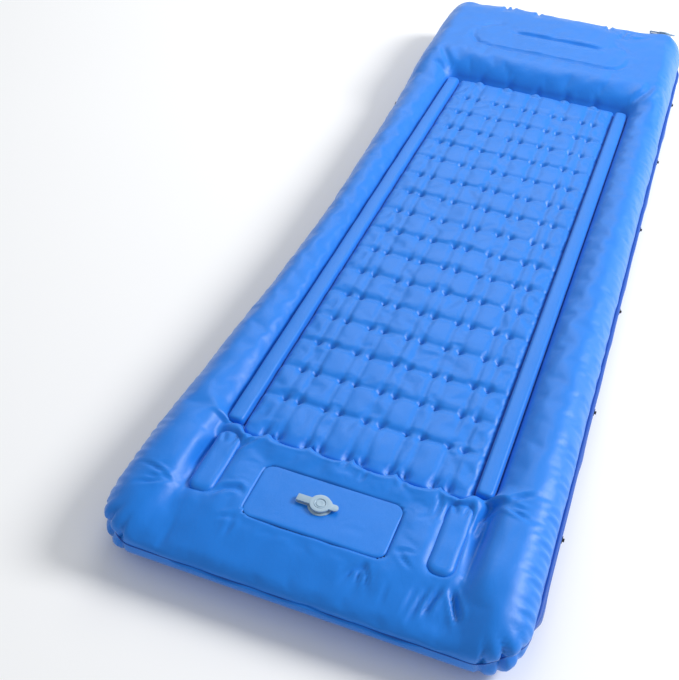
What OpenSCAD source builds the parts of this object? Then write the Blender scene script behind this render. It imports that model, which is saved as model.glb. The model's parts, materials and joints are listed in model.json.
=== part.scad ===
// Inflatable camping mat with a built-in pillow at the head and a foot pump at the foot.
// +Z is up, +Y runs towards the head, and the origin lies on the ground under the middle.

/* [Mat] */
// Length over the end hems
mat_l = 2100; // [2050:10:2150]
// Width over the side snaps at the foot
mat_w = 720; // [700:5:740]
// How much the right side draws in from foot to head
right_taper = 30; // [0:5:40]
// How deep the left side's waist is
left_waist = 36; // [0:2:40]
// Height of the two side bolsters
bolster_h = 118; // [112:1:124]
// Width of a side bolster
bolster_w = 112; // [110:1:114]
// Plan radius of the four corners
corner_r = 80; // [60:5:90]
// Thickness of the coated fabric
skin_t = 1.2; // [1:0.1:1.6]

/* [Field] */
// Height of the quilted field
field_h = 98; // [90:1:102]
// Half width of the quilted field
field_half_w = 201; // [200:1:202]
// Distance between weld columns
column_pitch = 74; // [70:1:76]
// Distance between weld rows
row_pitch = 79; // [75:1:79]
// Length of one weld bar
weld_l = 26; // [20:1:32]

/* [Rails] */
// Height of the two flat rails
rail_h = 104; // [100:1:110]
// Width of a rail
rail_w = 28; // [26:1:29]

/* [Pillow] */
// Height of the pillow
pillow_h = 146; // [136:1:150]
// Length of the pillow along the mat
pillow_l = 455; // [440:5:456]
// Radius of the pillow's long edges
pillow_r = 60; // [56:1:64]

/* [Foot pump] */
// Height of the foot chamber
foot_h = 104; // [102:1:108]
// Length of the pump pouch across the mat
pouch_l = 240; // [230:1:242]
// Width of the pump pouch along the mat
pouch_w = 114; // [110:1:116]
// Height of the panel's top face
panel_top = 100; // [98:1:102]
// Thickness of the panel
panel_t = 5; // [4:0.5:6]

/* [Valves] */
// Radius of a valve's flange
flange_r = 20; // [18:0.5:20]
// Radius of the air bore
bore_r = 6.5; // [6:0.1:7]
// Distance from the valve's axis to the lid's hinge
hinge_x = 38.5; // [36:0.5:40]
// Tilt of the deflation valve towards the head
deflation_tilt = 35; // [30:1:40]

/* [Snaps] */
// Snaps on each side
snap_count = 6; // [2:1:6]
// Distance between snaps
snap_pitch = 312; // [290:1:315]
// Radius of a snap's disc
snap_r = 6.3; // [5.5:0.1:7]
// Radius of a stud's post
stud_r = 3; // [2.5:0.1:3.2]

/* [Hidden] */

// Fabric outline in plan, inside the hems and the flanges
hem_d = 3;
hem_half_l = 235;
flange_d = 10;
body_x = mat_w / 2 - flange_d;
body_y = mat_l / 2 - hem_d;
base_z = skin_t;
sheet_half_w = 288;
gap = 1.5;

// Chamber limits along and across the mat
bolster_in = body_x - bolster_w;
pillow_y0 = body_y - pillow_l;
head_y = pillow_y0 - gap;
weld_first_y = -765;
weld_rows = 17;
weld_columns = 5;
foot_y = weld_first_y - 11;
field_y0 = foot_y + gap;
rail_in = field_half_w + gap;
rail_r = 12;
bolster_r = 50;
end_r = 45;
fold_t = 1;

// Oblong panel on the pillow, between its two ties
pillow_panel_x = -13;
pillow_panel_y = 762;
pillow_panel_l = 300;
pillow_panel_w = 106;

// Foot channels, one each side of the pump
channel_w = 43;
channel_r = 18;
channel_h = 108;
channel_y0 = -935;
channel_y1 = -797;
left_channel_x = -207;
right_channel_x = 192;

// Pump chamber
pump_x = -9;
pump_y = -897;
pouch_r = 18;
pouch_wall = 1.5;
pouch_top = 96;
panel_gap = 1.2;
foam_gap = 2;
foam_top = panel_top - panel_t - 0.3;
foam_pocket_r = 16;
foam_pocket_z = 60;

// Valves
valve_x = -15.5;
valve_y = -892;
valve_flange_t = 1.6;
rim_r = 10;
rim_h = 4.6;
stem_l = 20;
lid_r = 17;
lid_z = 4.8;
lid_t = 2.8;
hinge_z = 3.6;
bead_r = 1.35;
strap_w = 13;
flap_r = 8;
flap_t = 0.8;
deflation_x = 258;
seat_sink = 3.6;

// Transfer valve in the pouch's head wall
transfer_z = 45;
transfer_r = 12;
transfer_bore_r = 7;
transfer_l = 13;
transfer_flap_r = 9;

// Waist of the left side, and how far it fades towards the foot and the head
waist_y = -165;
waist_foot = 500;
waist_head = 750;

// Side flanges and snaps
strip_d = flange_d - 4.2;
strip_t = 1.2;
strip_top = 58;
strip_bottom = 34;
snap_z = 45;
snap_d = flange_d - strip_d;
snap_first_y = -763;
disc_t = 1.2;
cap_t = 1.4;
rivet_r = 1.5;
rivet_in = 0.8;
socket_r = 3.25;
socket_d = 2.8;

ARC = 8;
$fn = 64;

// Points of one corner arc, in steps from a0 to a0 + 90 degrees
function arc(cx, cy, r, a0) =
    [for (i = [0:ARC]) [cx + r * cos(a0 + 90 * i / ARC), cy + r * sin(a0 + 90 * i / ARC)]];

// Rounded rectangle between two corners
function round_rect(x0, y0, x1, y1, r) = concat(
    arc(x1 - r, y1 - r, r, 0), arc(x0 + r, y1 - r, r, 90),
    arc(x0 + r, y0 + r, r, 180), arc(x1 - r, y0 + r, r, 270));

// Rectangle with only its low side rounded
function round_end(x0, y0, x1, y1, r) = concat(
    [[x1, y1]], arc(x0 + r, y1 - r, r, 90), arc(x0 + r, y0 + r, r, 180), [[x1, y0]]);

// Half width of the fabric at a place along the mat; side is 1 on the right and -1 on the left
function edge_x(side, y) = side > 0
    ? body_x - right_taper * (y + body_y) / (2 * body_y)
    : body_x - left_waist * exp(-pow((y - waist_y) / (y < waist_y ? waist_foot : waist_head), 2));

// Ends of the straight stretches of a side, one stretch for each snap
side_ys = [for (i = [0:snap_count]) snap_first_y + (i - 0.5) * snap_pitch];

// Points along a side from foot to head, moved out by d
function side_line(side, d) = [for (y = side_ys) [side * (edge_x(side, y) + d), y]];

// The same points from head to foot
function reversed(points) = [for (i = [len(points) - 1:-1:0]) points[i]];

// Angle by which one stretch of a side leaves the Y axis
function stretch_angle(side, i) =
    atan2(edge_x(side, side_ys[i + 1]) - edge_x(side, side_ys[i]), snap_pitch);

// A section in X and Z, extruded along Y
module along_y(points, y0, y1) {
    rotate([90, 0, 0]) translate([0, 0, -y1]) linear_extrude(y1 - y0) polygon(points);
}

// A section in Y and Z, extruded along X
module along_x(points, x0, x1) {
    rotate([90, 0, 90]) translate([0, 0, x0]) linear_extrude(x1 - x0) polygon(points);
}

// An outline in X and Y, extruded upwards
module upright(points, z0, z1) {
    translate([0, 0, z0]) linear_extrude(z1 - z0) polygon(points);
}

// Centre of a corner's arc
function corner(side, end) =
    [side * (edge_x(side, end * (body_y - corner_r)) - corner_r), end * (body_y - corner_r)];

// Corner arc that starts at angle a0
function corner_arc(side, end, inset, a0) =
    arc(corner(side, end)[0], corner(side, end)[1], corner_r - inset, a0);

// The mat's plan outline, pulled in by the inset
module plan(inset, top) {
    upright(concat(side_line(1, -inset), corner_arc(1, 1, inset, 0), corner_arc(-1, 1, inset, 90),
        reversed(side_line(-1, -inset)), corner_arc(-1, -1, inset, 180),
        corner_arc(1, -1, inset, 270)), inset / 2, top);
}

// One side bolster's outer form, pulled in by the inset
module bolster_form(side, inset) {
    intersection() {
        mirror([side > 0 ? 0 : 1, 0, 0]) along_y(round_rect(bolster_in + inset, base_z + inset, body_x - inset,
            bolster_h - inset, bolster_r - inset), -body_y, head_y - inset);
        along_x(round_rect(-body_y + inset, base_z + inset, body_y, bolster_h - inset,
            end_r - inset), -body_x, body_x);
        plan(inset, bolster_h);
    }
}

module bolster(side) {
    difference() {
        bolster_form(side, 0);
        bolster_form(side, skin_t);
    }
}

// The pillow's outer form, pulled in by the inset
module pillow_form(inset) {
    intersection() {
        along_x(round_rect(pillow_y0 + inset, base_z + inset, body_y - inset, pillow_h - inset,
            pillow_r - inset), -body_x, body_x);
        along_y(round_rect(-body_x + inset, base_z + inset, body_x - inset, pillow_h - inset,
            pillow_r - inset), pillow_y0, body_y);
        plan(inset, pillow_h);
    }
}

// Places its children on the deflation valve's seat
module at_deflation() {
    reach = pillow_r - seat_sink;
    translate([deflation_x, body_y - pillow_r + reach * sin(deflation_tilt),
        pillow_h - pillow_r + reach * cos(deflation_tilt)])
        rotate([-deflation_tilt, 0, 0]) children();
}

// The flat seat's clearance, grown by the margin
module seat_space(margin) {
    translate([0, 0, -margin]) cylinder(r = flange_r + 0.5 + margin, h = 2 * seat_sink + margin);
    translate([-52 - margin, -9 - margin, -margin])
        cube([52 + margin, 18 + 2 * margin, 2 * seat_sink + margin]);
}

// An upright fabric strip that ties the top sheet to the bottom sheet
module tie(x, y, length, top) {
    translate([x - length / 2, y - fold_t / 2, base_z + skin_t])
        cube([length, fold_t, top - base_z - 2 * skin_t]);
}

// A block with rounded top edges, hollow inside
module air_bar(x0, x1, y0, y1, top, r) {
    difference() {
        along_y(round_rect(x0, base_z, x1, top, r), y0, y1);
        along_y(round_rect(x0 + skin_t, base_z + skin_t, x1 - skin_t, top - skin_t, r - skin_t),
            y0 + skin_t, y1 - skin_t);
    }
}

// A foot channel's form, grown by the margin
module channel_form(x, margin, top) {
    intersection() {
        along_y(round_rect(x - channel_w / 2 - margin, base_z - margin,
            x + channel_w / 2 + margin, top + margin, channel_r + margin),
            channel_y0 - margin, channel_y1 + margin);
        upright(round_rect(x - channel_w / 2 - margin, channel_y0 - margin,
            x + channel_w / 2 + margin, channel_y1 + margin, channel_r + margin),
            -margin, top + margin);
    }
}

module channel(x) {
    difference() {
        channel_form(x, 0, channel_h);
        channel_form(x, -skin_t, channel_h);
    }
}

// A round-cornered box in the pump's place, grown by the margin
module pump_box(margin, z0, z1) {
    upright(round_rect(pump_x - pouch_l / 2 - margin, pump_y - pouch_w / 2 - margin,
        pump_x + pouch_l / 2 + margin, pump_y + pouch_w / 2 + margin, pouch_r + margin), z0, z1);
}

// Space that the pump and the channels take out of the foot chamber
module foot_pockets(margin) {
    pump_box(gap / 2 + margin, 0, foot_h + 10);
    for (x = [left_channel_x, right_channel_x])
        translate([x - channel_w / 2 - gap / 2 - margin, channel_y0 - gap / 2 - margin, 0])
            cube([channel_w + gap + 2 * margin, channel_y1 - channel_y0 + gap + 2 * margin,
                foot_h + 10]);
}

module foot_form(inset) {
    intersection() {
        along_x(round_end(-body_y + inset, base_z + inset, foot_y - inset, foot_h - inset,
            end_r - inset), -bolster_in + gap + inset, bolster_in - gap - inset);
        plan(inset, foot_h);
    }
}

// A cylinder that points along Y
module y_cylinder(r, length) {
    rotate([-90, 0, 0]) cylinder(r = r, h = length);
}

// Flange, stem, rim, strap and hinge block of an air valve, on the plane Z = 0
module valve_base() {
    difference() {
        union() {
            cylinder(r = flange_r, h = valve_flange_t);
            translate([0, 0, -stem_l]) cylinder(r = rim_r, h = stem_l + rim_h);
            translate([-hinge_x + 3.5, -strap_w / 2, 0])
                cube([hinge_x - 5, strap_w, valve_flange_t]);
            translate([-hinge_x + 0.2, -strap_w / 2 + 0.5, 0])
                cube([3.4, strap_w - 1, hinge_z]);
        }
        translate([0, 0, -stem_l - 1]) cylinder(r = bore_r, h = stem_l + rim_h + 2);
        translate([-hinge_x, -strap_w, hinge_z]) y_cylinder(bead_r + 0.2, 2 * strap_w);
    }
}

// Ring lid with its recessed middle, strap, pull tab, plug and hinge bead
module valve_cap() {
    difference() {
        union() {
            translate([0, 0, lid_z]) cylinder(r = lid_r, h = lid_t);
            translate([-hinge_x, -strap_w / 2, lid_z]) cube([hinge_x - 6, strap_w, lid_t - 0.3]);
            translate([12, -6, lid_z]) cube([12, 12, lid_t - 0.3]);
            translate([24, 0, lid_z]) cylinder(r = 6, h = lid_t - 0.3);
            translate([0, 0, lid_z - 1.3]) cylinder(r1 = bore_r - 0.8, r2 = bore_r - 0.4, h = 1.4);
            translate([-hinge_x, -strap_w / 2 + 0.5, hinge_z]) y_cylinder(bead_r, strap_w - 1);
        }
        translate([0, 0, lid_z + lid_t - 1]) cylinder(r = lid_r / 2, h = 2);
    }
}

// One-way disc under the stem, hinged at its left edge
module valve_flap() {
    translate([0, 0, -stem_l - 0.1 - flap_t]) cylinder(r = flap_r, h = flap_t);
}

// Repeats its children at every snap, with +X pointing away from the mat
module at_snaps(side) {
    for (i = [0:snap_count - 1]) {
        x = (edge_x(side, side_ys[i]) + edge_x(side, side_ys[i + 1])) / 2 + strip_d;
        translate([side * x, snap_first_y + i * snap_pitch, snap_z])
            rotate([0, 0, side > 0 ? -stretch_angle(side, i) : 180 + stretch_angle(side, i)])
                children();
    }
}

// A cylinder that points along X
module x_cylinder(r, length) {
    rotate([0, 90, 0]) cylinder(r = r, h = length);
}

module snap_back() {
    translate([-strip_t - cap_t - 0.01, 0, 0]) x_cylinder(snap_r, cap_t);
    translate([-strip_t - 0.1, 0, 0]) x_cylinder(rivet_r, strip_t + 0.1 + rivet_in - 0.2);
}

// An upright wall between two lines along one side
module side_wall(side, d0, d1, z0, z1) {
    upright(concat(side_line(side, d0), reversed(side_line(side, d1))), z0, z1);
}

// Hanging strip that carries one side's snaps
module flange_strip(side) {
    difference() {
        union() {
            side_wall(side, 0, strip_d, strip_top - strip_t, strip_top);
            side_wall(side, strip_d - strip_t, strip_d, strip_bottom, strip_top);
        }
        at_snaps(side) translate([-2, 0, 0]) x_cylinder(rivet_r + 0.1, 4);
    }
}

// Folded hem along the seam of one end, at a height
module hem(z) {
    translate([-hem_half_l, body_y, z]) cube([2 * hem_half_l, hem_d, 1.6]);
}

module base_sheet() {
    color("royalblue")
        upright(round_rect(-sheet_half_w, -body_y + 40, sheet_half_w, body_y - 40, 50), 0, skin_t);
}

module left_bolster() {
    color("dodgerblue") bolster(-1);
}

module right_bolster() {
    color("dodgerblue") bolster(1);
}

module pillow() {
    color("cornflowerblue")
        difference() {
            pillow_form(0);
            difference() {
                pillow_form(skin_t);
                at_deflation() seat_space(skin_t);
            }
            at_deflation() {
                seat_space(0);
                translate([0, 0, -10]) cylinder(r = rim_r + 0.4, h = 12);
            }
        }
}

// Two long ties under the oblong panel on the pillow
module pillow_ties() {
    color("steelblue") {
        for (end = [0:1])
            tie(pillow_panel_x, pillow_panel_y + (end - 0.5) * pillow_panel_w,
                pillow_panel_l, pillow_h);
    }
}

module cell_field() {
    color("cornflowerblue") air_bar(-field_half_w, field_half_w, field_y0, head_y, field_h, 8);
}

module field_ties() {
    color("steelblue")
        for (row = [0:weld_rows - 1])
            for (column = [0:weld_columns - 1])
                tie((column - (weld_columns - 1) / 2) * column_pitch,
                    weld_first_y + row * row_pitch, weld_l, field_h);
}

module left_rail() {
    color("deepskyblue") mirror([1, 0, 0])
        air_bar(rail_in, rail_in + rail_w, field_y0, head_y, rail_h, rail_r);
}

module right_rail() {
    color("deepskyblue") air_bar(rail_in, rail_in + rail_w, field_y0, head_y, rail_h, rail_r);
}

module foot_chamber() {
    color("dodgerblue")
        difference() {
            foot_form(0);
            foot_pockets(0);
            difference() {
                foot_form(skin_t);
                foot_pockets(skin_t);
            }
            translate([pump_x, pump_y, transfer_z]) y_cylinder(transfer_r + 0.5, pouch_w / 2 + 6);
        }
}

module left_channel() {
    color("cornflowerblue") channel(left_channel_x);
}

module right_channel() {
    color("cornflowerblue") channel(right_channel_x);
}

module pump_pouch() {
    color("royalblue")
        difference() {
            pump_box(0, base_z, pouch_top);
            pump_box(-pouch_wall, base_z + pouch_wall, pouch_top + 1);
            translate([pump_x, pump_y, transfer_z]) y_cylinder(transfer_bore_r, pouch_w);
        }
}

// Open-cell block that springs the panel back up
module pump_foam() {
    color("lightgray")
        difference() {
            pump_box(-pouch_wall - foam_gap, base_z + pouch_wall, foam_top);
            translate([valve_x, valve_y, foam_pocket_z]) cylinder(r = foam_pocket_r, h = foam_top);
        }
}

module pump_panel() {
    color("cornflowerblue")
        difference() {
            pump_box(-pouch_wall - panel_gap, panel_top - panel_t, panel_top);
            translate([valve_x, valve_y, 0]) cylinder(r = rim_r + 0.1, h = panel_top + 1);
        }
}

module pump_valve_base() {
    color("lightsteelblue") translate([valve_x, valve_y, panel_top]) valve_base();
}

module pump_valve_cap() {
    color("lightblue") translate([valve_x, valve_y, panel_top]) valve_cap();
}

module pump_valve_flap() {
    color("lightsteelblue") translate([valve_x, valve_y, panel_top]) valve_flap();
}

module transfer_valve_body() {
    color("lightsteelblue")
        translate([pump_x, pump_y + pouch_w / 2, transfer_z])
            difference() {
                union() {
                    y_cylinder(transfer_r + 2, gap / 2 - 0.1);
                    y_cylinder(transfer_r, transfer_l);
                }
                translate([0, -1, 0]) y_cylinder(transfer_bore_r, transfer_l + 2);
            }
}

module transfer_valve_flap() {
    color("lightblue")
        translate([pump_x, pump_y + pouch_w / 2 + transfer_l + 0.1, transfer_z])
            y_cylinder(transfer_flap_r, flap_t);
}

module deflation_valve_base() {
    color("lightsteelblue") at_deflation() valve_base();
}

module deflation_valve_cap() {
    color("lightblue") at_deflation() valve_cap();
}

module deflation_valve_flap() {
    color("lightsteelblue") at_deflation() valve_flap();
}

module left_flange() {
    color("mediumblue") flange_strip(-1);
}

module right_flange() {
    color("mediumblue") flange_strip(1);
}

module snap_studs() {
    color("black") at_snaps(1)
        difference() {
            union() {
                x_cylinder(snap_r, disc_t);
                x_cylinder(stud_r, snap_d);
            }
            translate([-0.5, 0, 0]) x_cylinder(rivet_r + 0.05, rivet_in + 0.5);
        }
}

module snap_stud_caps() {
    color("dimgray") at_snaps(1) snap_back();
}

module snap_sockets() {
    color("black") at_snaps(-1)
        difference() {
            x_cylinder(snap_r, snap_d);
            translate([snap_d - socket_d, 0, 0]) x_cylinder(socket_r, socket_d + 1);
            translate([-0.5, 0, 0]) x_cylinder(rivet_r + 0.05, rivet_in + 0.5);
        }
}

module snap_socket_caps() {
    color("dimgray") at_snaps(-1) snap_back();
}

module head_hem() {
    color("mediumblue") hem(bolster_h / 2);
}

module foot_hem() {
    color("mediumblue") mirror([0, 1, 0]) hem(bolster_h / 2);
}

base_sheet();
left_bolster();
right_bolster();
pillow();
pillow_ties();
cell_field();
field_ties();
left_rail();
right_rail();
foot_chamber();
left_channel();
right_channel();
pump_pouch();
pump_foam();
pump_panel();
pump_valve_base();
pump_valve_cap();
pump_valve_flap();
transfer_valve_body();
transfer_valve_flap();
deflation_valve_base();
deflation_valve_cap();
deflation_valve_flap();
left_flange();
right_flange();
snap_studs();
snap_stud_caps();
snap_sockets();
snap_socket_caps();
head_hem();
foot_hem();
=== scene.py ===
"""Camp sleeping mat with a built-in pillow and a foot pump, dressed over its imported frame.

Every length is in metres. X runs across the mat, Y from the foot to the pillow, Z up.
"""

import json
import logging
import math
from dataclasses import dataclass, field
from enum import Enum
from typing import Any, Optional, Sequence

import bmesh
import bpy
import numpy as np
from mathutils import Matrix, Vector

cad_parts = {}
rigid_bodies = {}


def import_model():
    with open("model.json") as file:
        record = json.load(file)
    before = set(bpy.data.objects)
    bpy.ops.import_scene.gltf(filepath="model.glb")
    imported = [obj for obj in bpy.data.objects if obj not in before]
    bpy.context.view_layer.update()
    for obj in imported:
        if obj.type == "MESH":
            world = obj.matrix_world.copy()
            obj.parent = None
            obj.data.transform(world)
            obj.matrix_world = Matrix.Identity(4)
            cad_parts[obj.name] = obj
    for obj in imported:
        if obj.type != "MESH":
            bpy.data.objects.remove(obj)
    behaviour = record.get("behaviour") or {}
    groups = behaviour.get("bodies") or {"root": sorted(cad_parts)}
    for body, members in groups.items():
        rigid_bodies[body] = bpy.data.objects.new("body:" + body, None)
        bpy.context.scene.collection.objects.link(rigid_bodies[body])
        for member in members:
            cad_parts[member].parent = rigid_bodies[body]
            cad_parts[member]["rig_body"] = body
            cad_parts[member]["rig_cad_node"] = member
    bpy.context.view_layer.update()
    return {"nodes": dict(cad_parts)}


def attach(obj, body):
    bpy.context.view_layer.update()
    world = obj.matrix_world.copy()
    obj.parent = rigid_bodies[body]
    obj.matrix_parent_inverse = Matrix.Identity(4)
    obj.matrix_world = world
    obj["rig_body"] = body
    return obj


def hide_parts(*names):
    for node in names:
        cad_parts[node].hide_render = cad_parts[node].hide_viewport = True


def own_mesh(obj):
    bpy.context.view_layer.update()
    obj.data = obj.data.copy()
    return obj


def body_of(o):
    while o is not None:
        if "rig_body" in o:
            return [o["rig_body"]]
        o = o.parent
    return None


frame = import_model()
log = logging.getLogger("camp_mat")
Array = np.ndarray
Colour = tuple[float, float, float, float]


class Slot(Enum):
    """Material slots of the record."""

    TOP = "top_fabric"
    BASE = "base_fabric"
    SEAM = "seam_fabric"
    TIE = "tie_fabric"
    FILM = "pouch_film"
    FOAM = "pump_foam"
    VALVE = "valve_rubber"
    SNAP = "snap_plastic"


class Side(Enum):
    """The two long sides of the mat."""

    LEFT = -1
    RIGHT = 1


# ---------------------------------------------------------------- shader tools


class Wire:
    """A shader socket that can be used in an arithmetic expression."""

    def __init__(self, graph: "Graph", socket: Any) -> None:
        """Wraps one output socket of a graph."""
        self.graph = graph
        self.socket = socket

    def _math(self, operation: str, first: Any, second: Any) -> "Wire":
        """Adds one Math node.

        Args:
            operation: the Math node's operation.
            first: a wire or a number.
            second: a wire or a number.

        Returns:
            The node's result.
        """
        return self.graph.add("ShaderNodeMath", {"operation": operation}, {0: first, 1: second})

    def __add__(self, other: Any) -> "Wire":
        """Adds a wire or a number."""
        return self._math("ADD", self, other)

    def __radd__(self, other: Any) -> "Wire":
        """Adds this wire to a number."""
        return self._math("ADD", other, self)

    def __mul__(self, other: Any) -> "Wire":
        """Multiplies by a wire or a number."""
        return self._math("MULTIPLY", self, other)

    def __rmul__(self, other: Any) -> "Wire":
        """Multiplies a number by this wire."""
        return self._math("MULTIPLY", other, self)


class Graph:
    """A material's node tree, with one way to add a node."""

    band_span = 0.314159  # metres from one band to the next in a Wave Texture of scale 1

    def __init__(self, name: str) -> None:
        """Makes an empty material.

        Args:
            name: the material's name.
        """
        self.material = bpy.data.materials.new(name)
        self.material.use_nodes = True
        self.tree = self.material.node_tree
        self.tree.nodes.clear()

    def add(self, kind: str, settings: dict, inputs: dict, output: Any = 0) -> Wire:
        """Adds any node.

        Args:
            kind: the node's type.
            settings: its properties, set before its sockets.
            inputs: its sockets by index or name, each a wire, a number or a tuple.
            output: which output socket to hand back.

        Returns:
            The output socket, wrapped.
        """
        node = self.tree.nodes.new(kind)
        for key, value in settings.items():
            setattr(node, key, value)
        for key, value in inputs.items():
            if isinstance(value, Wire):
                self.tree.links.new(value.socket, node.inputs[key])
            else:
                node.inputs[key].default_value = value
        return Wire(self, node.outputs[output])

    def place(self, scale: tuple[float, float, float] = (1.0, 1.0, 1.0)) -> Wire:
        """Object coordinates, stretched by scale."""
        coords = self.add("ShaderNodeTexCoord", {}, {}, "Object")
        return self.add("ShaderNodeMapping", {}, {"Vector": coords, "Scale": scale})

    def noise(self, scale: float, detail: float = 3.0, stretch: tuple = (1.0, 1.0, 1.0),
              distortion: float = 0.0) -> Wire:
        """A noise value from 0 to 1.

        Args:
            scale: how many features to a metre.
            detail: octaves.
            stretch: how much each axis is squeezed first.
            distortion: how far it is swirled.

        Returns:
            The noise.
        """
        return self.add("ShaderNodeTexNoise", {}, {
            "Vector": self.place(stretch), "Scale": scale, "Detail": detail,
            "Distortion": distortion}, "Fac")

    def wave(self, axis: str, period: float) -> Wire:
        """Bands along an axis.

        Args:
            axis: X, Y or Z.
            period: metres from one band to the next.

        Returns:
            A value from 0 to 1.
        """
        return self.add("ShaderNodeTexWave", {"bands_direction": axis}, {
            "Vector": self.place(), "Scale": self.band_span / period}, "Fac")

    def mix(self, factor: Any, first: tuple, second: tuple) -> Wire:
        """Mixes two colours by a factor."""
        return self.add("ShaderNodeMix", {"data_type": "RGBA"},
                        {0: factor, 6: first, 7: second}, 2)

    def bump(self, height: Wire, distance: float, strength: float = 1.0,
             under: Optional[Wire] = None) -> Wire:
        """A bump in the normal.

        Args:
            height: the height, from 0 to 1.
            distance: metres that a height of 1 stands for.
            strength: how much of it shows.
            under: another bump that this one lies on.

        Returns:
            The normal.
        """
        inputs = {"Height": height, "Distance": distance, "Strength": strength}
        if under is not None:
            inputs["Normal"] = under
        return self.add("ShaderNodeBump", {}, inputs, "Normal")

    def finish(self, inputs: dict) -> bpy.types.Material:
        """Adds the surface shader and the output.

        Args:
            inputs: the Principled shader's sockets.

        Returns:
            The material.
        """
        surface = self.add("ShaderNodeBsdfPrincipled", {}, inputs)
        end = self.tree.nodes.new("ShaderNodeOutputMaterial")
        self.tree.links.new(surface.socket, end.inputs["Surface"])
        return self.material


def shade(colour: Colour, factor: float) -> Colour:
    """A colour made lighter or darker.

    Args:
        colour: linear red, green, blue and alpha.
        factor: what its light is multiplied by.

    Returns:
        The new colour.
    """
    return (colour[0] * factor, colour[1] * factor, colour[2] * factor, 1.0)


@dataclass(frozen=True)
class CoatedFabric:
    """Plain-woven polyester with an airtight coat on its inner face."""

    name: str
    colour: Colour
    roughness: float = 0.40
    sheen: float = 0.24
    thread: float = 0.0009
    weave_depth: float = 0.00006
    creases: float = 0.0007
    tone: float = 0.10

    def build(self) -> bpy.types.Material:
        """Makes the material."""
        g = Graph(self.name)
        patches = g.noise(3.5, 3.0)
        cloud = g.noise(22.0, 4.0, distortion=0.6)
        share = patches * 0.6 + cloud * 0.4
        colour = g.mix(share, shade(self.colour, 1.0 - self.tone), shade(self.colour, 1.0 + self.tone))
        warp = g.wave("X", self.thread)
        weft = g.wave("Y", self.thread)
        weave = warp * weft
        fine = g.noise(55.0, 5.0, (1.0, 0.6, 1.0), 1.2)
        soft = g.bump(fine, self.creases, 0.55)
        normal = g.bump(weave, self.weave_depth, 0.6, soft)
        roughness = self.roughness - 0.05 + 0.10 * cloud
        return g.finish({
            "Base Color": colour, "Roughness": roughness, "Normal": normal,
            "Sheen Weight": self.sheen, "Sheen Roughness": 0.45,
            "Sheen Tint": (0.75, 0.86, 1.0, 1.0), "Specular IOR Level": 0.38})


@dataclass(frozen=True)
class SoftRubber:
    """Moulded soft plastic with a faint grain and handling marks."""

    name: str
    colour: Colour
    roughness: float = 0.42
    grain: float = 900.0
    depth: float = 0.00008

    def build(self) -> bpy.types.Material:
        """Makes the material."""
        g = Graph(self.name)
        cloud = g.noise(60.0, 4.0)
        grain = g.noise(self.grain, 2.0)
        colour = g.mix(cloud, shade(self.colour, 0.88), shade(self.colour, 1.10))
        normal = g.bump(grain, self.depth, 0.5)
        roughness = self.roughness - 0.08 + 0.16 * cloud
        return g.finish({"Base Color": colour, "Roughness": roughness, "Normal": normal,
                         "Specular IOR Level": 0.5})


@dataclass(frozen=True)
class OpenFoam:
    """Open-cell foam: pits of several sizes."""

    name: str
    colour: Colour

    def build(self) -> bpy.types.Material:
        """Makes the material."""
        g = Graph(self.name)
        pits = g.add("ShaderNodeTexVoronoi", {}, {"Vector": g.place(), "Scale": 420.0}, "Distance")
        cloud = g.noise(30.0, 3.0)
        # The pits are painted darker than the cell walls. This is painted shade in the foam's hollows.
        colour = g.mix(pits, shade(self.colour, 0.7), self.colour)
        normal = g.bump(pits, 0.0008, 0.7)
        return g.finish({"Base Color": colour, "Roughness": 0.85 + 0.1 * cloud, "Normal": normal})


@dataclass(frozen=True)
class StudioFloor:
    """Smooth pale paper."""

    name: str
    colour: Colour

    def build(self) -> bpy.types.Material:
        """Makes the material."""
        g = Graph(self.name)
        cloud = g.noise(2.0, 2.0)
        return g.finish({"Base Color": g.mix(cloud, shade(self.colour, 0.99), self.colour),
                         "Roughness": 0.9, "Specular IOR Level": 0.1})


@dataclass
class Finishes:
    """The mat's finishes, each made once."""

    blue: Colour = (0.004, 0.196, 0.735, 1.0)
    # deep_blue is the pouch film's colour. On the seam finish it is painted shade, darker than the top
    # fabric.
    deep_blue: Colour = (0.004, 0.085, 0.430, 1.0)
    made: dict = field(default_factory=dict)

    def __post_init__(self) -> None:
        """Makes every material."""
        recipes = {
            Slot.TOP: CoatedFabric("top_fabric_blue", self.blue),
            Slot.BASE: CoatedFabric("base_fabric_blue", shade(self.blue, 0.8), 0.52),
            # The seam finish is darker than the top fabric. It is painted shade for the seam's contact gap
            # and the hanging snap strips, which are the top's blue fabric.
            Slot.SEAM: CoatedFabric("seam_tape_painted_shade", self.deep_blue, 0.5, 0.12),
            Slot.TIE: CoatedFabric("weld_blue", shade(self.blue, 0.62), 0.40, 0.08),
            Slot.FILM: SoftRubber("pouch_film_blue", shade(self.deep_blue, 1.2), 0.38),
            Slot.FOAM: OpenFoam("foam_grey", (0.30, 0.32, 0.35, 1.0)),
            Slot.VALVE: SoftRubber("valve_blue_grey", (0.36, 0.50, 0.62, 1.0), 0.34),
            Slot.SNAP: SoftRubber("snap_black", (0.012, 0.013, 0.016, 1.0), 0.28),
        }
        self.made = {slot: recipe.build() for slot, recipe in recipes.items()}

    def dress(self, obj: bpy.types.Object, slot: Slot) -> None:
        """Gives an object one finish, on every slot that it has.

        Args:
            obj: a new piece or a CAD node's object.
            slot: which finish.
        """
        if not obj.material_slots:
            obj.data.materials.append(self.made[slot])
        for place in obj.material_slots:
            place.material = self.made[slot]
        "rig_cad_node" not in obj


# ---------------------------------------------------------------- shape tools


def smooth(value: Any) -> Any:
    """A soft step from 0 to 1."""
    t = np.clip(value, 0.0, 1.0)
    return t * t * (3.0 - 2.0 * t)


def hump(value: Any) -> Any:
    """A bell that is 1 at 0."""
    return np.exp(-np.square(value))


def round_up(value: Any) -> Any:
    """The height of a quarter circle above a share of its width."""
    t = 1.0 - np.clip(value, 0.0, 1.0)
    return np.sqrt(np.clip(1.0 - t * t, 0.0, 1.0))


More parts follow.
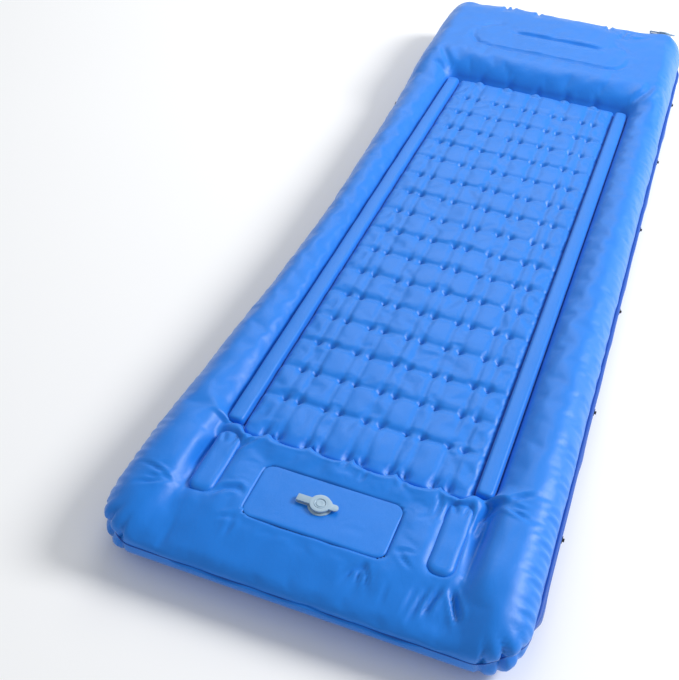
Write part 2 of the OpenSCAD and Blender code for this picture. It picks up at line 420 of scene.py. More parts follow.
def rounded_box(x: Array, y: Array, box: Sequence[float], corner: float) -> tuple:
    """Distance from a rounded rectangle, negative inside, and the way out of it.

    Args:
        x: places across.
        y: places along.
        box: the rectangle's x0, y0, x1 and y1.
        corner: its corner radius.

    Returns:
        The distance, and the outward direction's two parts.
    """
    cx, cy = (box[0] + box[2]) / 2, (box[1] + box[3]) / 2
    hx, hy = (box[2] - box[0]) / 2 - corner, (box[3] - box[1]) / 2 - corner
    dx, dy = np.abs(x - cx) - hx, np.abs(y - cy) - hy
    ox, oy = np.maximum(dx, 0.0), np.maximum(dy, 0.0)
    outside = np.hypot(ox, oy)
    distance = outside + np.minimum(np.maximum(dx, dy), 0.0) - corner
    flat = outside < 1e-9
    nx = np.where(flat, (dx > dy) * 1.0, ox / np.maximum(outside, 1e-9))
    ny = np.where(flat, (dx <= dy) * 1.0, oy / np.maximum(outside, 1e-9))
    return distance, nx * np.sign(x - cx), ny * np.sign(y - cy)


def wander(x: Array, y: Array, size: float, seed: int) -> Array:
    """A smooth random height from about -1 to 1.

    Args:
        x: places across.
        y: places along.
        size: how far apart its swells are.
        seed: which pattern.

    Returns:
        The heights.
    """
    rng = np.random.default_rng(seed)
    total = np.zeros_like(x)
    for _ in range(9):
        angle, phase = rng.uniform(0, 2 * math.pi, 2)
        wave = 2 * math.pi / (size * rng.uniform(0.7, 1.6))
        total = total + np.sin(wave * (x * math.cos(angle) + y * math.sin(angle)) + phase)
    return total / 4.5


@dataclass(frozen=True)
class Crease:
    """A soft fold along a bent line in plan, with a low raised flank beside it."""

    line: tuple
    depth: float
    width: float
    fade: float = 0.3

    def sink(self, x: Array, y: Array) -> Array:
        """How far the fold sinks the fabric at each place.

        Args:
            x: places across.
            y: places along.

        Returns:
            The depths.
        """
        points = np.array(self.line)
        steps = np.hypot(*(points[1:] - points[:-1]).T)
        starts = np.concatenate([[0.0], np.cumsum(steps)])
        best = np.full(x.shape, 1e9)
        along = np.zeros(x.shape)
        for start, end, length, before in zip(points[:-1], points[1:], steps, starts):
            way = (end - start) / length
            t = np.clip((x - start[0]) * way[0] + (y - start[1]) * way[1], 0.0, length)
            gap = np.hypot(x - start[0] - t * way[0], y - start[1] - t * way[1])
            near = gap < best
            best = np.where(near, gap, best)
            along = np.where(near, (before + t) / starts[-1], along)
        ends = smooth(along / self.fade) * smooth((1.0 - along) / self.fade)
        flank = 0.35 * hump((best - 2.1 * self.width) / self.width)
        return self.depth * ends * (hump(best / self.width) - flank)


def fan(centre: tuple, angles: Sequence[float], length: float, depth: float,
        width: float, gap: float = 0.004) -> list:
    """Creases that spread from one point.

    Args:
        centre: the point.
        angles: the creases' directions in degrees.
        length: how long they are.
        depth: how deep they are.
        width: how wide they are.
        gap: how far from the point they start.

    Returns:
        The creases.
    """
    made = []
    for index, angle in enumerate(angles):
        way = np.array([math.cos(math.radians(angle)), math.sin(math.radians(angle))])
        reach = length * (0.7 + 0.3 * math.cos(2.4 * index))
        start, end = np.array(centre) + gap * way, np.array(centre) + (gap + reach) * way
        made.append(Crease((tuple(start), tuple(end)), depth, width, 0.45))
    return made


@dataclass
class Patch:
    """A rounded rectangle's grid in plan, with what its height needs at each place."""

    x: Array
    y: Array
    inset: Array
    out_x: Array
    out_y: Array
    turn: Array
    corner: Array

    def lift(self, rim: Any, rise: Any, push: Any = 0.0, notch: Any = 0.0) -> Array:
        """Stands the grid up on its rounded edge.

        Args:
            rim: the seam's height.
            rise: how far the crest is above the seam, or below it.
            push: how far the surface stands out, square to itself.
            notch: how far the seam itself is drawn in.

        Returns:
            The points, one to each grid place.
        """
        level, lean = np.sin(self.turn), np.cos(self.turn)
        side = push * lean - notch * hump(self.turn / 0.24)
        up = np.sign(rise) * push * level
        return np.stack([self.x + self.out_x * side, self.y + self.out_y * side,
                         rim + rise * level + up], -1)


@dataclass(frozen=True)
class RoundedGrid:
    """A grid over a rounded rectangle, drawn together along its edge."""

    box: tuple
    corner: float
    band: float
    step: tuple
    rings: int = 8
    stops_x: tuple = ()
    stops_y: tuple = ()
    fine: float = 0.62
    fine_below: float = -9.0

    def _step_at(self, place: float, step: float) -> float:
        """The line spacing from a place on; finer below fine_below."""
        return step * self.fine if place < self.fine_below else step

    def _lines(self, low: float, high: float, step: float, stops: tuple) -> Array:
        """Places of the grid's lines along one axis.

        Args:
            low: the first place.
            high: the last place.
            step: the most from one line to the next.
            stops: places that a line has to be at.

        Returns:
            The places.
        """
        turns = np.linspace(0.0, math.pi / 2, self.rings + 1)
        edge = self.band * (1.0 - np.cos(turns))
        inner = sorted({low + self.band, *stops, high - self.band})
        middle = [np.linspace(a, b, max(2, int(math.ceil((b - a) / self._step_at(a, step))) + 1))[:-1]
                  for a, b in zip(inner[:-1], inner[1:])]
        return np.concatenate([low + edge[:-1], *middle, [high - self.band], (high - edge[:-1])[::-1]])

    def build(self) -> Patch:
        """Makes the grid, its corners pressed round."""
        u = self._lines(self.box[0], self.box[2], self.step[0], self.stops_x)
        v = self._lines(self.box[1], self.box[3], self.step[1], self.stops_y)
        u, v = np.meshgrid(u, v, indexing="ij")
        cx, cy = (self.box[0] + self.box[2]) / 2, (self.box[1] + self.box[3]) / 2
        hx, hy = (self.box[2] - self.box[0]) / 2, (self.box[3] - self.box[1]) / 2
        au, av = np.abs(u - cx), np.abs(v - cy)
        a = np.clip((au - hx + self.corner) / self.corner, 0.0, 1.0)
        b = np.clip((av - hy + self.corner) / self.corner, 0.0, 1.0)
        inside = (a > 0) & (b > 0)
        ra, rb = a * np.sqrt(1 - b * b / 2), b * np.sqrt(1 - a * a / 2)
        radius = np.hypot(ra, rb)
        au = np.where(inside, hx - self.corner + self.corner * ra, au)
        av = np.where(inside, hy - self.corner + self.corner * rb, av)
        inset = np.where(inside, self.corner * (1 - radius), np.minimum(hx - au, hy - av))
        inset = np.clip(inset, 0.0, None)
        across = (hx - au) <= (hy - av)
        ox = np.where(inside, ra / np.maximum(radius, 1e-9), across * 1.0) * np.sign(u - cx)
        oy = np.where(inside, rb / np.maximum(radius, 1e-9), ~across * 1.0) * np.sign(v - cy)
        turn = np.arccos(np.clip(1.0 - inset / self.band, 0.0, 1.0))
        turned = np.where(inside, np.degrees(np.arctan2(rb, np.maximum(ra, 1e-9))),
                          np.where(a > 0, 0.0, 90.0))
        return Patch(cx + np.sign(u - cx) * au, cy + np.sign(v - cy) * av, inset, ox, oy, turn, turned)


def new_object(name: str, verts: Array, faces: Sequence) -> bpy.types.Object:
    """A smooth-shaded mesh object at the origin, its faces turned outwards.

    Args:
        name: the piece's name.
        verts: the points.
        faces: each face's point numbers.

    Returns:
        The object.
    """
    mesh = bpy.data.meshes.new(name)
    mesh.from_pydata([tuple(v) for v in verts], [], [tuple(int(i) for i in f) for f in faces])
    return finish_mesh(name, mesh)


def finish_mesh(name: str, mesh: bpy.types.Mesh) -> bpy.types.Object:
    """Cleans a mesh, turns its faces outwards and puts it in the scene.

    Args:
        name: the piece's name.
        mesh: the mesh.

    Returns:
        The object.
    """
    bm = bmesh.new()
    bm.from_mesh(mesh)
    bmesh.ops.delete(bm, geom=[v for v in bm.verts if not v.link_faces], context="VERTS")
    bmesh.ops.recalc_face_normals(bm, faces=bm.faces)
    bm.to_mesh(mesh)
    bm.free()
    mesh.shade_smooth()
    obj = bpy.data.objects.new(name, mesh)
    bpy.context.scene.collection.objects.link(obj)
    return obj


def quads(ids: Array, cell: Array) -> Array:
    """Point numbers at the corners of a grid's cells.

    Args:
        ids: the points' numbers, in rows.
        cell: which cells are there.

    Returns:
        Four numbers to each cell.
    """
    return np.stack([ids[:-1, :-1], ids[1:, :-1], ids[1:, 1:], ids[:-1, 1:]], -1)[cell]


def border(grid: Array) -> list:
    """What stands along a grid's outer edge, once round."""
    return [*grid[:, 0], *grid[-1, 1:], *grid[-2::-1, -1], *grid[0, -2:0:-1]]


def closed_shell(name: str, top: Array, bottom: Array, keep: Optional[Array] = None) -> bpy.types.Object:
    """A closed shell between two grids that share their outer edge.

    Args:
        name: the piece's name.
        top: the upper points, in rows.
        bottom: the lower points, in the same rows.
        keep: which of the grid's cells are there; a wall closes the edge of each gap.

    Returns:
        The object.
    """
    n, m = top.shape[:2]
    upper = np.arange(n * m).reshape(n, m)
    inner = np.zeros((n, m), bool)
    inner[1:-1, 1:-1] = True
    lower = upper.copy()
    lower[inner] = n * m + np.arange(inner.sum())
    verts = np.vstack([top.reshape(-1, 3), bottom[inner]])
    cell = np.ones((n - 1, m - 1), bool) if keep is None else keep
    faces = [*quads(upper, cell), *quads(lower, cell)[:, ::-1]]
    across = cell[:-1, :] != cell[1:, :]
    along = cell[:, :-1] != cell[:, 1:]
    for i, j in zip(*np.nonzero(across)):
        faces.append((upper[i + 1, j], upper[i + 1, j + 1], lower[i + 1, j + 1], lower[i + 1, j]))
    for i, j in zip(*np.nonzero(along)):
        faces.append((upper[i, j + 1], upper[i + 1, j + 1], lower[i + 1, j + 1], lower[i, j + 1]))
    return new_object(name, verts, faces)


def loft(name: str, loops: Sequence[Array]) -> bpy.types.Object:
    """A closed solid through a row of loops, capped at both ends.

    Args:
        name: the piece's name.
        loops: each loop's points, the same number in each.

    Returns:
        The object.
    """
    count = len(loops[0])
    verts = np.vstack(loops)
    faces: list = [tuple(range(count)), tuple((len(loops) - 1) * count + k for k in range(count))]
    for level in range(len(loops) - 1):
        for k in range(count):
            a, b = level * count + k, level * count + (k + 1) % count
            faces.append((a, b, b + count, a + count))
    return new_object(name, verts, faces)


def sheet_shell(name: str, grid: Array, thickness: float) -> bpy.types.Object:
    """A thin closed sheet with a grid as its middle.

    Args:
        name: the piece's name.
        grid: the points, in rows.
        thickness: the sheet's thickness.

    Returns:
        The object.
    """
    a, b = np.gradient(grid, axis=0), np.gradient(grid, axis=1)
    normal = np.cross(a, b)
    normal /= np.maximum(np.linalg.norm(normal, axis=-1, keepdims=True), 1e-12)
    n, m = grid.shape[:2]
    front, back = grid + normal * thickness / 2, grid - normal * thickness / 2
    ids = np.arange(n * m).reshape(n, m)
    cell = np.ones((n - 1, m - 1), bool)
    faces = [*quads(ids, cell), *quads(ids + n * m, cell)[:, ::-1]]
    rim = border(ids)
    for first, second in zip(rim, rim[1:] + rim[:1]):
        faces.append((first, second, second + n * m, first + n * m))
    return new_object(name, np.vstack([front.reshape(-1, 3), back.reshape(-1, 3)]), faces)


@dataclass(frozen=True)
class AirPressure:
    """Air that presses a held sheet of fabric out, worked out as cloth."""

    push: float
    cap: float
    slack: float = 0.015
    frames: int = 14
    mass: float = 0.15
    stretch: float = 25.0
    shear: float = 12.0
    bending: float = 0.4
    hold: float = 20.0
    steps: int = 5

    def _set_rules(self, cloth: bpy.types.Modifier) -> None:
        """Gives a cloth modifier the fabric's numbers.

        Args:
            cloth: the modifier.
        """
        rules = cloth.settings
        rules.quality = self.steps
        rules.mass = self.mass
        rules.tension_stiffness = rules.compression_stiffness = self.stretch
        rules.shear_stiffness = self.shear
        rules.bending_stiffness = self.bending
        rules.use_pressure = True
        rules.uniform_pressure_force = self.push
        rules.shrink_min = -self.slack
        rules.vertex_group_mass = "held"
        rules.pin_stiffness = self.hold
        rules.effector_weights.gravity = 0.0
        cloth.collision_settings.use_collision = False
        cloth.point_cache.frame_start, cloth.point_cache.frame_end = 1, self.frames

    def _shaped(self, points: Array, faces: Array, held: Array) -> Array:
        """Runs the cloth calculation.

        Args:
            points: the sheet's points.
            faces: its faces' point numbers.
            held: how firmly each point is held.

        Returns:
            The points in their last places.
        """
        scene = bpy.context.scene
        mesh = bpy.data.meshes.new("swelling")
        mesh.from_pydata(points.tolist(), [], faces.tolist())
        sheet = bpy.data.objects.new("swelling", mesh)
        scene.collection.objects.link(sheet)
        group = sheet.vertex_groups.new(name="held")
        levels = np.round(held, 1)
        for level in np.unique(levels):
            if level > 0:
                group.add(np.nonzero(levels == level)[0].tolist(), float(level), "REPLACE")
        self._set_rules(sheet.modifiers.new("air", "CLOTH"))
        for moment in range(1, self.frames + 1):
            scene.frame_set(moment)
        shaped = sheet.evaluated_get(bpy.context.evaluated_depsgraph_get())
        found = np.empty(len(points) * 3)
        shaped.data.vertices.foreach_get("co", found)
        sheet.modifiers.clear()
        bpy.data.objects.remove(sheet)
        scene.frame_set(1)
        return found.reshape(-1, 3)

    def swell(self, points: Array, held: Array, keep: Optional[Array] = None) -> Array:
        """Lets the air shape a sheet.

        Args:
            points: the sheet's points, in rows.
            held: how firmly each is held, from 0 to 1.
            keep: which cells are there; all if it isn't given.

        Returns:
            The new points.
        """
        n, m = points.shape[:2]
        cell = np.ones((n - 1, m - 1), bool) if keep is None else keep
        faces = quads(np.arange(n * m).reshape(n, m), cell)
        used = np.unique(faces)
        number = np.full(n * m, -1)
        number[used] = np.arange(len(used))
        flat = points.reshape(-1, 3)[used]
        move = np.zeros((n * m, 3))
        move[used] = self._shaped(flat, number[faces], held.reshape(-1)[used]) - flat
        move = move.reshape(n, m, 3)
        size = np.linalg.norm(move, axis=-1, keepdims=True)
        log.info("cloth: %d points, moved %.1f mm at most", len(used), float(size.max()) * 1000)
        move = move * np.minimum(1.0, self.cap / np.maximum(size, 1e-9))
        return points + move * (1.0 - held)[..., None]


# ---------------------------------------------------------------- the mat


@dataclass(frozen=True)
class Plan:
    """The mat's outline and the layout of its welds."""

    half_width: float = 0.350
    half_length: float = 1.047
    corner: float = 0.080
    taper: float = 0.030
    waist: float = 0.036
    waist_y: float = -0.165
    waist_foot: float = 0.50
    waist_head: float = 0.75
    seam_z: float = 0.057
    pocket: tuple = (-0.2280, -0.768, 0.2280, 0.584)
    valley_x: float = 0.2335
    field_ends: tuple = (-0.776, 0.592)
    panel: tuple = (-0.127, -0.952, 0.109, -0.842)
    panel_corner: float = 0.018
    column_pitch: float = 0.074
    row_pitch: float = 0.079
    first_row: float = -0.765
    columns: int = 5
    rows: int = 17
    weld_length: float = 0.026
    weld_z: float = 0.0800

    def edge(self, side: Any, y: Array) -> Array:
        """Half width of the fabric along one side.

        Args:
            side: 1 on the right, -1 on the left.
            y: places along the mat.

        Returns:
            The half widths.
        """
        right = self.half_width - self.taper * (y + self.half_length) / (2 * self.half_length)
        spread = np.where(y < self.waist_y, self.waist_foot, self.waist_head)
        left = self.half_width - self.waist * hump((y - self.waist_y) / spread)
        return np.where(np.asarray(side) > 0, right, left)

    def draw_in(self, x: Array, y: Array) -> Array:
        """Moves the straight-sided outline's places onto the real outline.

        Args:
            x: places across.
            y: places along.

        Returns:
            The new places across.
        """
        inner = self.valley_x
        share = (self.edge(np.sign(x), y) - inner) / (self.half_width - inner)
        return np.where(np.abs(x) > inner, np.sign(x) * (inner + (np.abs(x) - inner) * share), x)

    def scallop(self, x: Array) -> Array:
        """How far a cell's rounded end reaches past its weld row, from 0 to 1."""
        place = (x / self.column_pitch) % 1.0 - 0.5
        return np.sqrt(np.clip(1.0 - (place / 0.5) ** 2, 0.0, 1.0)) * smooth((0.205 - np.abs(x)) / 0.02)

    def bend_ends(self, x: Array, y: Array) -> Array:
        """Draws the field's two straight ends into scallops.

        Args:
            x: places across.
            y: places along.

        Returns:
            The new places along.
        """
        foot = 0.016 * hump((y - self.field_ends[0]) / 0.026)
        head = 0.0045 * hump((y - self.field_ends[1]) / 0.010)
        knob = hump(self.from_column(x) / 0.0095)
        return y + knob * head - self.scallop(x) * foot

    def from_column(self, x: Array) -> Array:
        """How far each place is to the right of its nearest column of welds."""
        half = self.columns // 2
        return x - np.clip(np.round(x / self.column_pitch), -half, half) * self.column_pitch

    def from_row(self, y: Array) -> Array:
        """How far each place is past its nearest row of welds."""
        row = np.clip(np.round((y - self.first_row) / self.row_pitch), 0, self.rows - 1)
        return y - self.first_row - row * self.row_pitch

    def welds(self) -> Array:
        """Centres of the field's welds."""
        xs = (np.arange(self.columns) - (self.columns - 1) / 2) * self.column_pitch
        ys = self.first_row + np.arange(self.rows) * self.row_pitch
        return np.stack(np.meshgrid(xs, ys, indexing="ij"), -1).reshape(-1, 2)

    def weld_gap(self, x: Array, y: Array) -> Array:
        """Distance from the nearest weld's line.

        Args:
            x: places across.
            y: places along.

        Returns:
            The distances.
        """
        dx = np.maximum(np.abs(self.from_column(x)) - self.weld_length / 2, 0.0)
        return np.hypot(dx, self.from_row(y))


PLAN = Plan()


def pump_lip_z(x: Array, y: Array) -> Array:
    """Height of the rim's lip round the pump pad, level with the pad towards the field.

    Args:
        x: places across.
        y: places along.

    Returns:
        The heights.
    """
    level = np.maximum(smooth((y + 0.880) / 0.03), 0.6 * smooth((-0.085 - x) / 0.03))
    return 0.0972 + 0.0027 * level


@dataclass
class Piece:
    """What every sub-assembly shares: its finishes and how its pieces are handed over."""

    finishes: Finishes

    def hand_over(self, obj: bpy.types.Object, slot: Slot, body: str, *nodes: str) -> bpy.types.Object:
        """Dresses a piece, puts it on its body and hides the CAD nodes it stands for.

        Args:
            obj: the piece.
            slot: its finish.
            body: the body it rides on.
            nodes: the CAD nodes.

        Returns:
            The piece.
        """
        self.finishes.dress(obj, slot)
        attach(obj, body)
        if nodes:
            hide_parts(*nodes)
        log.info("%s: %d faces on %s", obj.name, len(obj.data.polygons), body)
        return obj


@dataclass
class AirRim(Piece):
    """The air chambers round the sleeping area: side bolsters, pillow and foot end."""

    band: float = 0.062
    side_height: float = 0.118
    pillow_height: float = 0.148
    pillow_crown: float = 0.0035
    foot_height: float = 0.1015
    valley: float = 0.080
    valley_corner: float = 0.020
    step: float = 0.0044
    rings: int = 14
    seam_notch: float = 0.0025
    corner_notch: float = 0.009
    lobe: float = 0.0055
    pucker: float = 0.0019
    pucker_pitch: float = 0.0215
    pump_gap: float = 0.0006
    pump_blend: float = 0.019
    under_z: float = 0.0022
    head_pulls: tuple = ((-0.184, 0.060), (-0.168, 0.048), (-0.092, 0.056), (0.108, 0.062), (0.030, 0.030))

    def creases(self) -> list:
        """The sewn grooves of the pillow and the folds that the air draws in the fabric."""
        rows = (
            # The groove round the pillow's near side, the straight one above it and a link at each end.
            (((-0.222, 0.800), (-0.219, 0.752), (-0.196, 0.719), (-0.150, 0.709),
              (0.140, 0.709), (0.172, 0.719), (0.193, 0.752), (0.196, 0.800)), 0.0060, 0.0050, 0.20),
            (((-0.140, 0.822), (-0.110, 0.815), (0.110, 0.815), (0.142, 0.824)), 0.0085, 0.0070, 0.18),
            (((-0.214, 0.812), (-0.190, 0.846), (-0.150, 0.850)), 0.0030, 0.0060, 0.35),
            (((0.190, 0.812), (0.174, 0.844), (0.140, 0.852)), 0.0030, 0.0060, 0.35),
            # Where the pillow meets the two bolsters.
            (((-0.232, 0.600), (-0.262, 0.635), (-0.280, 0.670)), 0.0030, 0.0080, 0.4),
            (((0.232, 0.600), (0.262, 0.640), (0.280, 0.690)), 0.0050, 0.0090, 0.4),
            (((-0.238, 0.575), (-0.262, 0.592), (-0.285, 0.600)), 0.0022, 0.0060, 0.4),
            # Between the right channel and the foot's right corner.
            (((0.216, -0.950), (0.232, -0.982), (0.246, -1.012)), 0.0085, 0.0042, 0.35),
            (((0.206, -0.955), (0.196, -0.985), (0.190, -1.015)), 0.0070, 0.0040, 0.35),
            (((0.188, -0.960), (0.178, -1.000), (0.172, -1.035)), 0.0034, 0.0034, 0.4),
            (((0.170, -0.962), (0.164, -1.000), (0.162, -1.030)), 0.0026, 0.0030, 0.4),
            (((0.128, -0.975), (0.126, -1.020)), 0.0018, 0.0030, 0.4),
            # Between the right channel and the field.
            (((0.236, -0.780), (0.224, -0.815), (0.218, -0.860)), 0.0075, 0.0038, 0.3),
            (((0.206, -0.782), (0.200, -0.830), (0.206, -0.870)), 0.0040, 0.0034, 0.35),
            (((0.186, -0.790), (0.174, -0.818), (0.170, -0.850)), 0.0045, 0.0034, 0.35),
            (((0.150, -0.790), (0.158, -0.820), (0.156, -0.850)), 0.0030, 0.0034, 0.35),
            # Round the left channel.
            (((-0.226, -0.800), (-0.236, -0.850), (-0.236, -0.900)), 0.0045, 0.0060, 0.3),
            (((-0.190, -0.840), (-0.176, -0.800), (-0.150, -0.778), (-0.120, -0.772)), 0.0050, 0.0034, 0.25),
            (((-0.184, -0.830), (-0.164, -0.800), (-0.150, -0.790)), 0.0040, 0.0032, 0.3),
            (((-0.190, -0.938), (-0.170, -0.915), (-0.150, -0.908), (-0.132, -0.918)), 0.0042, 0.0050, 0.3),
            # Short pulls from the field's foot end.
            (((-0.005, -0.782), (-0.010, -0.812)), 0.0034, 0.0034, 0.4),
            (((0.030, -0.792), (0.024, -0.826)), 0.0028, 0.0034, 0.4),
            (((0.086, -0.786), (0.092, -0.812)), 0.0034, 0.0034, 0.4),
        )
        fans = (
            # Round the pump panel and the channels, and at the right rail's foot.
            ((0.086, -0.957), (-122, -112, -103, -94, -84, -72), 0.050, 0.0042, 0.0026),
            ((0.114, -0.925), (-34, -16, 2), 0.050, 0.0026, 0.0032),
            ((-0.242, -0.938), (168, 180, 192, 205), 0.072, 0.0034, 0.0030),
            ((0.240, -0.785), (30, 12, -6, -22), 0.070, 0.0050, 0.0038),
            ((-0.128, -0.952), (-100, -124, -148), 0.044, 0.0026, 0.0034),
            # The pillow, towards its right corner.
            ((0.160, 0.905), (38, 56, 74, 92, 112), 0.085, 0.0042, 0.0044),
        )
        folds = [Crease(*row) for row in rows]
        for row in fans:
            folds += fan(*row)
        head_seam = 1.044
        for x, length in self.head_pulls:
            line = ((x, head_seam), (x + 0.004, head_seam - length * 1.4))
            folds.append(Crease(line, 0.0065, 0.0042, 0.3))
        return folds

    def edge_wrinkles(self, x: Array, y: Array, inset: Array) -> Array:
        """Fine parallel puckers that run in from the outer seam.

        Args:
            x: places across.
            y: places along.
            inset: distance in from the seam.

        Returns:
            How far they stand out.
        """
        reach = smooth(1.0 - inset / 0.050) * smooth(inset / 0.004)
        foot_right = 0.65 * smooth((-0.52 - y) / 0.12) * (x > 0)
        foot_left = 0.35 * smooth((-0.75 - y) / 0.1) * (x < 0)
        where = 0.35 + foot_right + foot_left
        sway = 0.006 * np.sin(9.0 * y) + 0.35 * inset
        beat = np.sin(2 * math.pi * (y - sway) / 0.131 + 0.6)
        wave = np.sin(2 * math.pi * (y + sway) / self.pucker_pitch) * beat
        along_sides = (np.abs(x) > 0.25) * smooth((1.0 - np.abs(y)) / 0.05)
        return self.pucker * where * wave * reach * along_sides

    def crest(self, u: Array, v: Array) -> Array:
        """The height that the air lifts each place to, away from every weld.

        Args:
            u: places across before the outline is drawn in.
            v: places along.

        Returns:
            The heights.
        """
        head = smooth((v - 0.50) / 0.17)
        foot = smooth((-0.72 - v) / 0.14) * smooth((0.272 - np.abs(u)) / 0.055)
        crest = self.side_height + (self.pillow_height - self.side_height) * head
        crest = crest - (self.side_height - self.foot_height) * foot
        return crest + self.pillow_crown * head * hump((v - 0.80) / 0.13) * hump(u / 0.25)

    def fall(self, u: Array, v: Array, crest: Array) -> Array:
        """How far each place lies below its crest.

        Args:
            u: places across before the outline is drawn in.
            v: places along.
            crest: the crest's heights.

        Returns:
            The depths: into the field, beside the channels, and towards the ends and corners.
        """
        au = np.abs(u)
        at_head = smooth((v - 0.54) / 0.06)
        at_foot = smooth((-0.735 - v) / 0.045)
        valley = (-PLAN.valley_x, PLAN.field_ends[0], PLAN.valley_x, PLAN.field_ends[1])
        gap, _, _ = rounded_box(u, v, valley, self.valley_corner)
        width = 0.0545 + 0.026 * at_head - 0.032 * at_foot
        floor = self.valley + 0.008 * at_head + 0.012 * at_foot
        to_field = (crest - floor) * (1.0 - round_up(gap / width))
        beside = hump((au - 0.2345) / 0.014) * smooth((-0.772 - v) / 0.01) * smooth((v + 1.010) / 0.17)
        to_channels = np.where(u > 0, 0.024, 0.015) * beside
        end = PLAN.half_length - np.abs(v)
        valve_seat = 1.0 - hump(np.hypot(u - 0.268, v - 1.015) / 0.058)
        slope = 1.0 - smooth((end - 0.022) / 0.100)
        to_end = np.where(v < 0, 0.020, 0.012) * slope * smooth((0.30 - au) / 0.05) * valve_seat
        far = np.hypot(PLAN.half_width - au, end)
        to_corner = np.where(v < 0, 0.024, 0.020) * hump(far / 0.095) * valve_seat
        return to_field + to_channels + to_end + to_corner

    def grid(self, opening_box: tuple) -> Patch:
        """The rim's grid in plan, with lines at the welds and at the pump's opening.

        Args:
            opening_box: the pump opening's rectangle.

        Returns:
            The grid.
        """
        plan = PLAN
        box = (-plan.half_width, -plan.half_length, plan.half_width, plan.half_length)
        left, foot, right, head = opening_box
        stops_x = (-plan.valley_x, plan.pocket[0], plan.pocket[2], plan.valley_x, left, right)
        stops_y = (*plan.field_ends, plan.pocket[1], plan.pocket[3], foot, head)
        return RoundedGrid(box, plan.corner, self.band, (self.step, 0.0060), self.rings, stops_x, stops_y,
                           fine_below=-0.80).build()

    def corner_gathers(self, patch: Patch, near_corner: Array) -> tuple:
        """The fullness of the four corners and the folds that gather it.

        Args:
            patch: the rim's grid.
            near_corner: how near each place is to the middle of a corner, from 0 to 1.

        Returns:
            How far the fullness stands out, and how deep the folds are.
        """
        fold_rows = ((50.0, 0.0150, 4.2), (24.0, 0.0045, 3.6), (74.0, 0.0090, 3.6))
        lobes = self.lobe * hump((patch.turn - 0.62) / 0.38) * near_corner
        folds = sum(depth * hump((patch.corner - at) / wide) for at, depth, wide in fold_rows)
        return lobes, folds * smooth((1.15 - patch.turn) / 0.9) * (near_corner > 0)

    def build(self) -> bpy.types.Object:
        """Makes the rim as one closed shell round the sleeping area."""
        plan = PLAN
        opening_box = self.panel_box(self.pump_gap)
        patch = self.grid(opening_box)
        u, v = patch.x.copy(), patch.y.copy()
        crest = self.crest(u, v)
        fall = self.fall(u, v, crest)
        panel_gap, nx, ny = rounded_box(u, v, opening_box, plan.panel_corner + self.pump_gap)
        near = np.abs(panel_gap) < 0.0019
        u = np.where(near, u - nx * panel_gap, u)
        v = np.where(near, v - ny * panel_gap, v)
        panel_gap = np.where(near, 0.0, panel_gap)
        blend = round_up(np.clip(panel_gap, 0, None) / self.pump_blend)
        to_lip = (crest - pump_lip_z(u, v)) * (1.0 - blend) + fall * blend
        fall = np.where(panel_gap < self.pump_blend, to_lip, fall)
        for channel in CHANNELS.values():
            gap, _, _ = rounded_box(u, v, channel.box, channel.corner)
            fall = fall + 0.0080 * (1.0 - round_up(np.clip(gap + 0.003, 0, None) / 0.018)) * (gap < 0.02)
        patch.x = plan.draw_in(u, v)
        patch.y = plan.bend_ends(u, v)
        sink = sum(crease.sink(patch.x, patch.y) for crease in self.creases())
        push = self.edge_wrinkles(u, v, patch.inset) + 0.0012 * wander(patch.x, patch.y, 0.16, 3) - sink
        push = push + 0.0007 * wander(patch.x, patch.y, 0.05, 8)
        near_corner = np.sin(np.radians(2 * patch.corner)) ** 2
        lobes, folds = self.corner_gathers(patch, near_corner)
        notch = self.seam_notch + self.corner_notch * near_corner
        off_seam = smooth(patch.turn / 0.12)
        top = patch.lift(plan.seam_z, crest - plan.seam_z, (push + lobes - folds) * off_seam, notch)
        top[..., 2] -= fall * np.sin(patch.turn)
        under = patch.lift(plan.seam_z, -(plan.seam_z - self.under_z) * np.ones_like(crest),
                           (lobes - folds) * off_seam * smooth((1.4 - patch.turn) / 0.4), notch)
        keep = self.cells(u, v, opening_box)
        inner, _, _ = rounded_box(u, v, plan.pocket, 0.0005)
        held = np.maximum.reduce([(patch.inset < 0.0015) * 1.0, (inner < 0.012) * 1.0,
                                  hump(np.clip(panel_gap, 0, None) / 0.008), (sink > 0.0025) * 1.0])
        top = AirPressure(push=1.6, cap=0.0016, slack=0.004, frames=9).swell(top, held, keep)
        self.lip(top)
        rim = closed_shell("air_rim", top, under, keep)
        return self.hand_over(rim, Slot.TOP, "mat", "left_bolster", "right_bolster", "pillow",
                              "pillow_ties", "foot_chamber")

    @staticmethod
    def cells(u: Array, v: Array, opening_box: tuple) -> Array:
        """Which of the grid's cells the rim has, outside the field's pocket and the pump.

        Args:
            u: places across before the outline is drawn in.
            v: places along.
            opening_box: the pump opening's rectangle.

        Returns:
            True where there is fabric.
        """
        centre = (u[:-1, :-1] + u[1:, 1:]) / 2, (v[:-1, :-1] + v[1:, 1:]) / 2
        pocket, _, _ = rounded_box(*centre, PLAN.pocket, 0.0005)
        opening, _, _ = rounded_box(*centre, opening_box, PLAN.panel_corner)
        return (pocket > 0) & (opening > -0.0004)

    def lip(self, top: Array) -> bpy.types.Object:
        """Makes the welded lip along the whole outer seam.

        Args:
            top: the rim's upper points, in rows.

        Returns:
            The lip.
        """
        # The lip takes the darker seam finish. It is a painted shade line along the outer seam.
        made = SeamLip().build("seam_lip", np.array(border(top)), self.finishes.made[Slot.SEAM])
        return self.hand_over(made, Slot.SEAM, "mat")

    @staticmethod
    def panel_box(margin: float) -> tuple:
        """The pump panel's rectangle, made larger by a margin."""
        x0, y0, x1, y1 = PLAN.panel
        return (x0 - margin, y0 - margin, x1 + margin, y1 + margin)


@dataclass(frozen=True)
class Channel:
    """Plan of one of the short channels beside the pump."""

    box: tuple
    corner: float = 0.018
    top: float = 0.1030


